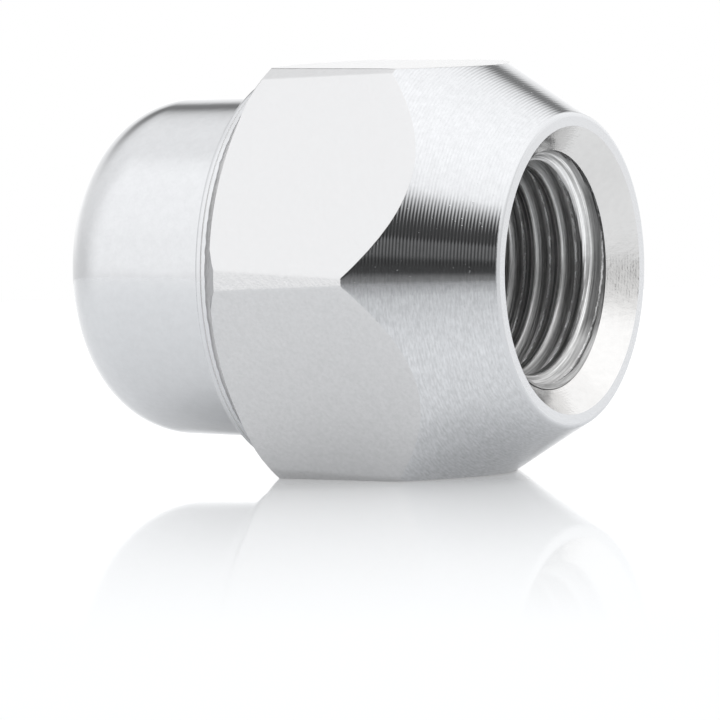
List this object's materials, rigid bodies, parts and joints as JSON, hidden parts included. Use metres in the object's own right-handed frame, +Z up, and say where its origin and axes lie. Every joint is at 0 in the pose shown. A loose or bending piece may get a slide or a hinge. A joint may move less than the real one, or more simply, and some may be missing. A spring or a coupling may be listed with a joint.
{
  "type": "lug nut",
  "caption": "Closed-end lug nut with a conical seat, hexagon flats and a welded dome cap over its tapped through bore.",
  "frame": {"origin": "centre of the open end's rim face, on the thread's axis", "axes": "+X along the thread's axis, out of the open end; +Z up, with one flat of the hexagon facing down"},
  "size_m": [0.0267, 0.024, 0.021],
  "materials": {
    "turned_chrome": "bright chrome over forged flats and turned faces with fine tool lines",
    "pressed_chrome": "mirror chrome over a smooth pressing"
  },
  "bodies": {
    "root": {"nut_body": "turned_chrome", "dome_cap": "pressed_chrome"}
  },
  "joints": []
}
